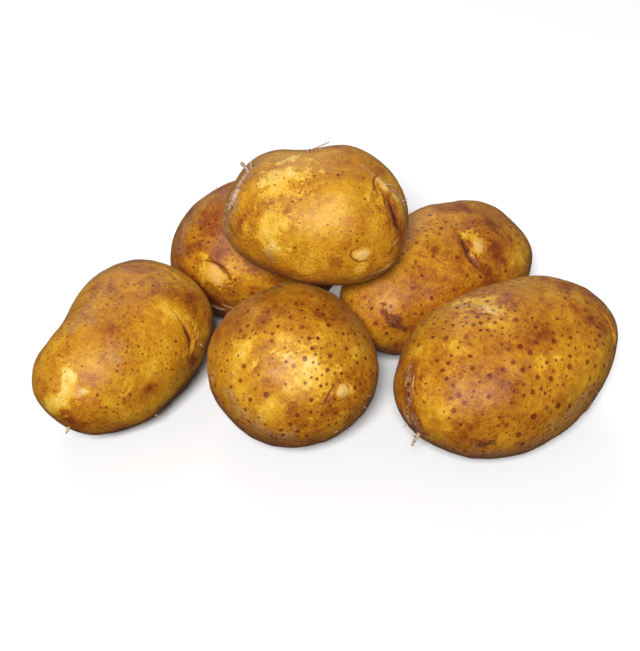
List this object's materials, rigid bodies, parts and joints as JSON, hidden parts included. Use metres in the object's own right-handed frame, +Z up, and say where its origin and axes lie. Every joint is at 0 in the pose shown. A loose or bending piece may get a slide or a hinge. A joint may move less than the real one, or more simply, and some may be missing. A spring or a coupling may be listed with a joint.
{
  "type": "potatoes",
  "caption": "Small heap of whole yellow-skinned potatoes, lying side by side on a flat surface with another resting on top of them.",
  "frame": {"origin": "on the surface the heap lies on, under the middle of its bounding box", "axes": "+X to the right along the heap, +Y away from its front row, +Z up"},
  "size_m": [0.2306, 0.1386, 0.0982],
  "materials": {
    "skin_front_left": "satin",
    "skin_front_middle": "satin",
    "skin_front_right": "satin",
    "skin_back_left": "satin",
    "skin_back_right": "satin",
    "skin_top": "satin"
  },
  "bodies": {
    "root": {"potato_front_left": "skin_front_left", "potato_front_middle": "skin_front_middle", "potato_front_right": "skin_front_right", "potato_back_left": "skin_back_left", "potato_back_right": "skin_back_right", "potato_top": "skin_top"}
  },
  "joints": []
}
